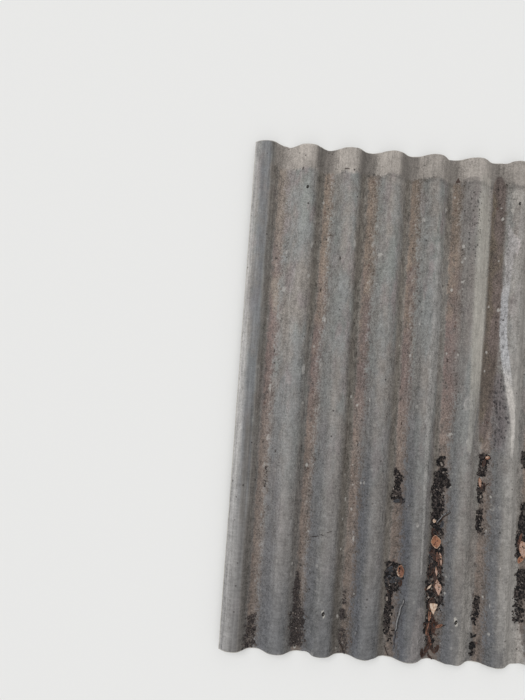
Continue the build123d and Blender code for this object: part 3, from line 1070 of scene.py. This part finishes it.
def leaf_mesh(length, width, turn, corners, roll, bend, seed):
    """A dead leaf, closed with a thin underside. Rings of points run out from its middle to the outline;
    the blade is rolled about its midrib, bent along its length and crinkled. Returns the points, and how
    far out, how far along and how far across each of them lies."""
    share, angle = np.meshgrid(np.linspace(0, 1, LEAF_RINGS + 1)[1:],
                               np.arange(LEAF_SECTORS) * 2 * np.pi / LEAF_SECTORS, indexing="ij")
    ragged = 1 + 0.07 * noise(angle * LEAF_SECTORS / 9 + seed, angle * 0, 1.0, seed=61)
    radius = share * leaf_outline(angle, corners) * ragged
    u = np.append(0, (radius * np.cos(angle)).ravel())
    v = np.append(0, (radius * np.sin(angle)).ravel())
    share = np.append(0, share.ravel())
    lean = roll * v
    across = width / 2 * np.sin(lean) / roll
    lift = width / 2 * (1 - np.cos(lean)) / roll
    crinkle = 0.04 * width * noise(u * 3 + seed, v * 3, 0.6, seed=67) * share
    top = np.stack([u * length / 2, across, lift + bend * length / 2 * u**2 + crinkle], -1)
    under = top - LEAF_THICKNESS * np.stack([u * 0, -np.sin(lean), np.cos(lean)], -1)
    c, s = np.cos(np.radians(turn)), np.sin(np.radians(turn))
    spin = np.array([[c, s, 0], [-s, c, 0], [0, 0, 1]])
    return top @ spin, under @ spin, share, u, v


def leaf_faces():
    """Faces of a leaf: a fan at the middle, rings out to the outline, the same below, and the rim."""
    count = 1 + LEAF_RINGS * LEAF_SECTORS
    ring = 1 + np.arange(LEAF_RINGS * LEAF_SECTORS).reshape(LEAF_RINGS, LEAF_SECTORS)
    after = np.roll(ring, -1, 1)
    fan = [(0, a, b) for a, b in zip(ring[0].tolist(), after[0].tolist())]
    rings = np.stack([ring[:-1], ring[1:], after[1:], after[:-1]], -1).reshape(-1, 4).tolist()
    top = fan + rings
    under = [tuple(count + k for k in face[::-1]) for face in top]
    rim = np.stack([after[-1], ring[-1], ring[-1] + count, after[-1] + count], -1).tolist()
    return top + under + rim


def laid_leaf(x, y, length, width, turn, corners, roll, bend, raised, seed):
    """Points of a leaf lying on the sheet or on its dirt, and the values for its material."""
    top, under, share, u, v = leaf_mesh(length * MM, width * MM, turn, corners, roll, bend, seed)
    base, normal = on_top(np.array([x * MM]), np.array([y * MM]))
    lean = np.arctan2(normal[0, 0], normal[0, 2])
    tilt = np.array([[np.cos(lean), 0, -np.sin(lean)], [0, 1, 0], [np.sin(lean), 0, np.cos(lean)]])
    faces = []
    for points, room in ((top, LEAF_THICKNESS), (under, 0)):
        points = points @ tilt + base[0] + [0, 0, raised * MM]
        points[:, 1] = within_ends(points[:, 1])
        ground, _ = on_top(points[:, 0], points[:, 1])
        dirt = (HEAP + 1.6 * CRUMB) * dirt_cover(points[:, 0], points[:, 1]) * min(raised / 4, 1)
        points[:, 2] = np.maximum(points[:, 2], ground[:, 2] + dirt + 0.3 * MM + room)
        faces.append(points)
    values = {"edge": np.tile(share, 2), "along": np.tile(u, 2), "away": np.tile(np.abs(v), 2)}
    return np.concatenate(faces), values


def leaf_pieces(materials):
    """The placed leaves, each its own piece, and the litter of small dark ones, joined."""
    faces = leaf_faces()
    for number, (*form, name) in enumerate(LEAVES):
        points, values = laid_leaf(*form, number * 7.3)
        lay_piece(f"dead_leaf_{number + 1}", points, faces, materials[name], values)

    draw = np.random.default_rng(LITTER_SEED)
    points, litter_faces, values = [], [], []
    for number in range(LITTER):
        y = draw.uniform(-860, -420)
        x = 154 + draw.normal(0, 11)
        length = draw.uniform(18, 44)
        width, turn = length * draw.uniform(0.25, 0.6), draw.normal(95, 28)
        roll, bend, raised = draw.uniform(0.5, 1.6), draw.uniform(0.1, 0.5), draw.uniform(0, 6)
        part, part_values = laid_leaf(x, y, length, width, turn, 0, roll, bend, raised, number * 5.1)
        litter_faces += [tuple(k + number * len(part) for k in face) for face in faces]
        points.append(part)
        values.append(part_values)
    lay_piece("leaf_litter", np.concatenate(points), litter_faces, materials["umber"],
              {key: np.concatenate([part[key] for part in values]) for key in values[0]})


def leaf_material(name):
    """Dead leaf: a mottled blade, another tone at its rim, with spots, a midrib and faint side veins.
    A pale rim is a painted highlight on the curled edge.
    """
    blade, vein, margin_and_highlight = (tone(*values) for values in LEAF_TONES[name])
    material, shader, place = new_material(name + "_leaf")
    away, along = place.attribute("away"), place.attribute("along")
    blotch = place.noise(110, 3, 0.65)
    colour = blotch.ramp(0.47, 0.65).tint(blade, vein)
    ribs = away.ramp(0.08, 0.02) | ((along * 4 - away * 1.5) % 1).ramp(0.2, 0.05) * 0.5
    colour = (ribs * 0.7).tint(colour, vein)
    # Rim: the leaf's outline, or a painted highlight where its tone is pale
    rim = (place.attribute("edge") + (blotch - 0.5) * 0.5).ramp(0.86, 1.0)
    colour = (rim * 0.8).tint(colour, margin_and_highlight)
    finish_material(shader, colour, 0.55, place.noise(420, 3, 0.6), 0.4 * MM)
    return material


# Twigs and stalks, in millimetres: the points that each runs through, with its radius and tone at them
TWIGS = (
    ("ash", ((192, -363, 1.9), (176, -384, 2.3), (157, -410, 1.8))),
    ("dark", ((195, -368, 1.2), (180, -388, 1.5), (165, -410, 1.1))),
    ("ash", ((49, -668, 2.8), (42, -707, 3.8), (35, -756, 4.2), (31, -778, 3.4))),
    ("grey", ((31, -780, 2.2), (33, -795, 2.4), (31, -813, 2.0), (31, -842, 1.1))),
    ("dark", ((20, -785, 1.4), (28, -782, 2.4), (37, -777, 1.2))),
    ("dark", ((331, -262, 1.1), (324, -270, 1.4), (318, -284, 1.2), (322, -296, 0.9))),
    ("dark", ((-272, -485, 0.9), (-262, -481, 1.3), (-252, -476, 0.8))),
    ("dark", ((-250, -472, 0.7), (-243, -470, 1.1), (-238, -471, 0.8))),
    ("dark", ((-227, -461, 0.8), (-220, -458, 1.1), (-211, -456, 0.7))),
    ("dark", ((141, -688, 1.4), (150, -722, 1.6), (140, -778, 1.5), (152, -822, 1.6), (170, -850, 1.2))),
    ("dark", ((166, -768, 1.2), (180, -764, 1.3), (197, -745, 0.9))),
    ("dark", ((150, -846, 1.2), (156, -862, 1.3), (168, -872, 1.0))),
    ("dark", ((2, -838, 1.2), (8, -856, 1.3), (14, -870, 1.0))),
    ("dark", ((-156, -838, 1.0), (-147, -846, 1.2), (-142, -860, 1.0))),
    ("dark", ((-246, 796, 0.9), (-238, 797, 1.2), (-230, 795, 0.8))),
    ("dark", ((66, 791, 0.8), (73, 790, 1.2), (80, 792, 0.8))),
)
# Bark and cracks of each tone; the crack tone is also the painted shade on a twig's unlit sides
TWIG_TONES = {"ash": ((142, 141, 141), (46, 45, 48)), "grey": ((72, 72, 78), (44, 42, 44)),
              "dark": ((74, 54, 44), (34, 28, 26))}
# Where a bit of stalk lies alone, in millimetres
LONE_BITS = ((-243, 479), (-299, 368), (-447, 143), (-420, -203), (-134, -163), (3, 47), (164, 152),
             (15, -78), (-393, 786))
TWIG_SIDES = 8
TWIG_STEPS = 14
TWIG_TURNS = np.arange(TWIG_SIDES) * 2 * np.pi / TWIG_SIDES
PAINTED_LIGHT_SIDE = 0.75 * np.pi  # the side of a twig painted as lit, as a turn from its left side


def twig_tube(line, radius):
    """Points and faces of a twig: rings round a line, square to it and as wide as the radius there, and
    a face to close each end."""
    way = np.gradient(line, axis=0)
    way /= np.linalg.norm(way, axis=1)[:, None]
    side = np.cross([0, 0, 1], way)
    side /= np.linalg.norm(side, axis=1)[:, None]
    up = np.cross(way, side)
    ring = side[:, None] * np.cos(TWIG_TURNS)[:, None] + up[:, None] * np.sin(TWIG_TURNS)[:, None]
    points = (line[:, None] + ring * radius[:, None, None]).reshape(-1, 3)
    index = np.arange(len(points)).reshape(len(line), TWIG_SIDES)
    after = np.roll(index, -1, 1)
    faces = np.stack([index[:-1], after[:-1], after[1:], index[1:]], -1).reshape(-1, 4).tolist()
    return points, faces + [index[0, ::-1].tolist(), index[-1].tolist()]


def twig_pieces(materials):
    """Round twigs along the lines through their points, lying on the sheet or on its dirt."""
    bits = tuple(("dark", ((x, y - 5, 1.5), (x + 1, y + 5, 1.0))) for x, y in LONE_BITS)
    for number, (name, run) in enumerate(TWIGS + bits):
        run = np.array(run) * MM
        knots = np.append(0, np.cumsum(np.hypot(*np.diff(run[:, :2], axis=0).T)))
        steps = np.linspace(0, knots[-1], TWIG_STEPS)
        x, y, radius = (np.interp(steps, knots, run[:, k]) for k in range(3))
        uneven = np.linspace(0, 9, TWIG_STEPS)
        x = x + 0.7 * radius * noise(uneven + number, uneven * 0, 1.5, seed=97)
        radius = radius * (1 + 0.12 * noise(uneven + number, uneven * 0, 1.0, seed=91))
        ground, _ = on_top(x, y)
        z = ground[:, 2] + radius + (HEAP + CRUMB) * dirt_cover(x, y)
        z = np.minimum(z, HIGH[2] - radius)
        points, faces = twig_tube(np.stack([x, y, z], 1), radius)
        points[:, 1] = within_ends(points[:, 1])
        # Painted light and shade: how near each point lies to the twig's lit side
        lay_piece(f"twig_{number + 1}", points, faces, materials[name],
                  {"lit_side": np.tile(np.cos(TWIG_TURNS - PAINTED_LIGHT_SIDE), TWIG_STEPS)})


def twig_material(name):
    """Bark, cracked along its length, painted light on its top left side and painted shade on the rest."""
    bark, crack_and_shade = (tone(*values) for values in TWIG_TONES[name])
    material, shader, place = new_material(name + "_twig")
    colour = place.stretched(1, 0.3, 1).noise(300, 3, 0.7).ramp(0.45, 0.7).tint(bark, crack_and_shade)
    colour = place.attribute("lit_side").ramp(0.52, 1.0).tint(crack_and_shade, colour)
    finish_material(shader, colour, 0.7, place.noise(500, 3, 0.6), 0.4 * MM)
    return material


# The camera looks straight down on the sheet, a little turned, as the photograph does
CAMERA_PLACE = Vector((-0.5267, 0.0506, 1.8438))
CAMERA_TURN = Vector((-0.0489, 0.0231, -0.0722))  # axis times angle, from the frame to the camera
FOCAL_PIXELS = 526
PHOTO_HEIGHT = 700
SENSOR = 36


def set_camera():
    """The camera at its place. Its matrix turns the other way, from the camera to the frame."""
    camera = bpy.data.cameras.new("camera")
    camera.sensor_width = SENSOR
    camera.lens = FOCAL_PIXELS * SENSOR / PHOTO_HEIGHT
    camera.clip_start, camera.clip_end = 0.01, 50
    seat = bpy.data.objects.new("camera", camera)
    turn = Matrix.Rotation(CAMERA_TURN.length, 4, CAMERA_TURN.normalized()).transposed()
    seat.matrix_world = Matrix.Translation(CAMERA_PLACE) @ turn
    bpy.context.scene.collection.objects.link(seat)
    bpy.context.scene.camera = seat


SURROUND = 0.58  # strength of the even light
SURROUND_SEEN = 0.8  # and of the pale backdrop
LAMP_STRENGTH = 1.5
LAMP_ANGLE = 0.8  # in radians: broad, for soft shadows
LAMP_WAY = Vector((0.42, -0.32, -0.85))  # the way its light falls


def set_light():
    """Soft studio light: an even surround, paler where it is seen or mirrored, and a broad lamp from the
    left of the head edge."""
    world = bpy.data.worlds.new("surround")
    bpy.context.scene.world = world
    world.use_nodes = True
    background = world.node_tree.nodes["Background"]
    background.inputs["Color"].default_value = (1, 1, 1, 1)
    seen = Shade(world.node_tree).add("LightPath", output="Is Camera Ray")
    seen = seen | seen.other("Is Glossy Ray") | seen.other("Is Transmission Ray")
    strength = seen * (SURROUND_SEEN - SURROUND) + SURROUND
    world.node_tree.links.new(strength.socket, background.inputs["Strength"])
    lamp = bpy.data.lights.new("broad_lamp", "SUN")
    lamp.energy, lamp.angle = LAMP_STRENGTH, LAMP_ANGLE
    lamp_seat = bpy.data.objects.new("broad_lamp", lamp)
    lamp_seat.matrix_world = LAMP_WAY.to_track_quat("-Z", "Y").to_matrix().to_4x4()
    bpy.context.scene.collection.objects.link(lamp_seat)


FLOOR_TONE = (0.82, 0.82, 0.81, 1)
FLOOR_ROUGHNESS = 0.9
FLOOR_REACH = 6.0
FLOOR_LEVEL = -0.3 * MM  # just clear of the sheet's undersides


def set_floor():
    """A flat pale square, wide enough to reach past every view."""
    material, shader, _ = new_material("pale_floor")
    shader.inputs["Base Color"].default_value = FLOOR_TONE
    shader.inputs["Roughness"].default_value = FLOOR_ROUGHNESS
    square = ((-1, -1), (1, -1), (1, 1), (-1, 1))
    corners = [(x * FLOOR_REACH, y * FLOOR_REACH, FLOOR_LEVEL) for x, y in square]
    make_object("floor", corners, [(0, 1, 2, 3)], [material])


bpy.context.scene.view_settings.view_transform = "Standard"
build_sheet()
dirt_pieces(dirt_material())
leaf_pieces({name: leaf_material(name) for name in LEAF_TONES})
twig_pieces({name: twig_material(name) for name in TWIG_TONES})
set_camera()
set_light()
set_floor()
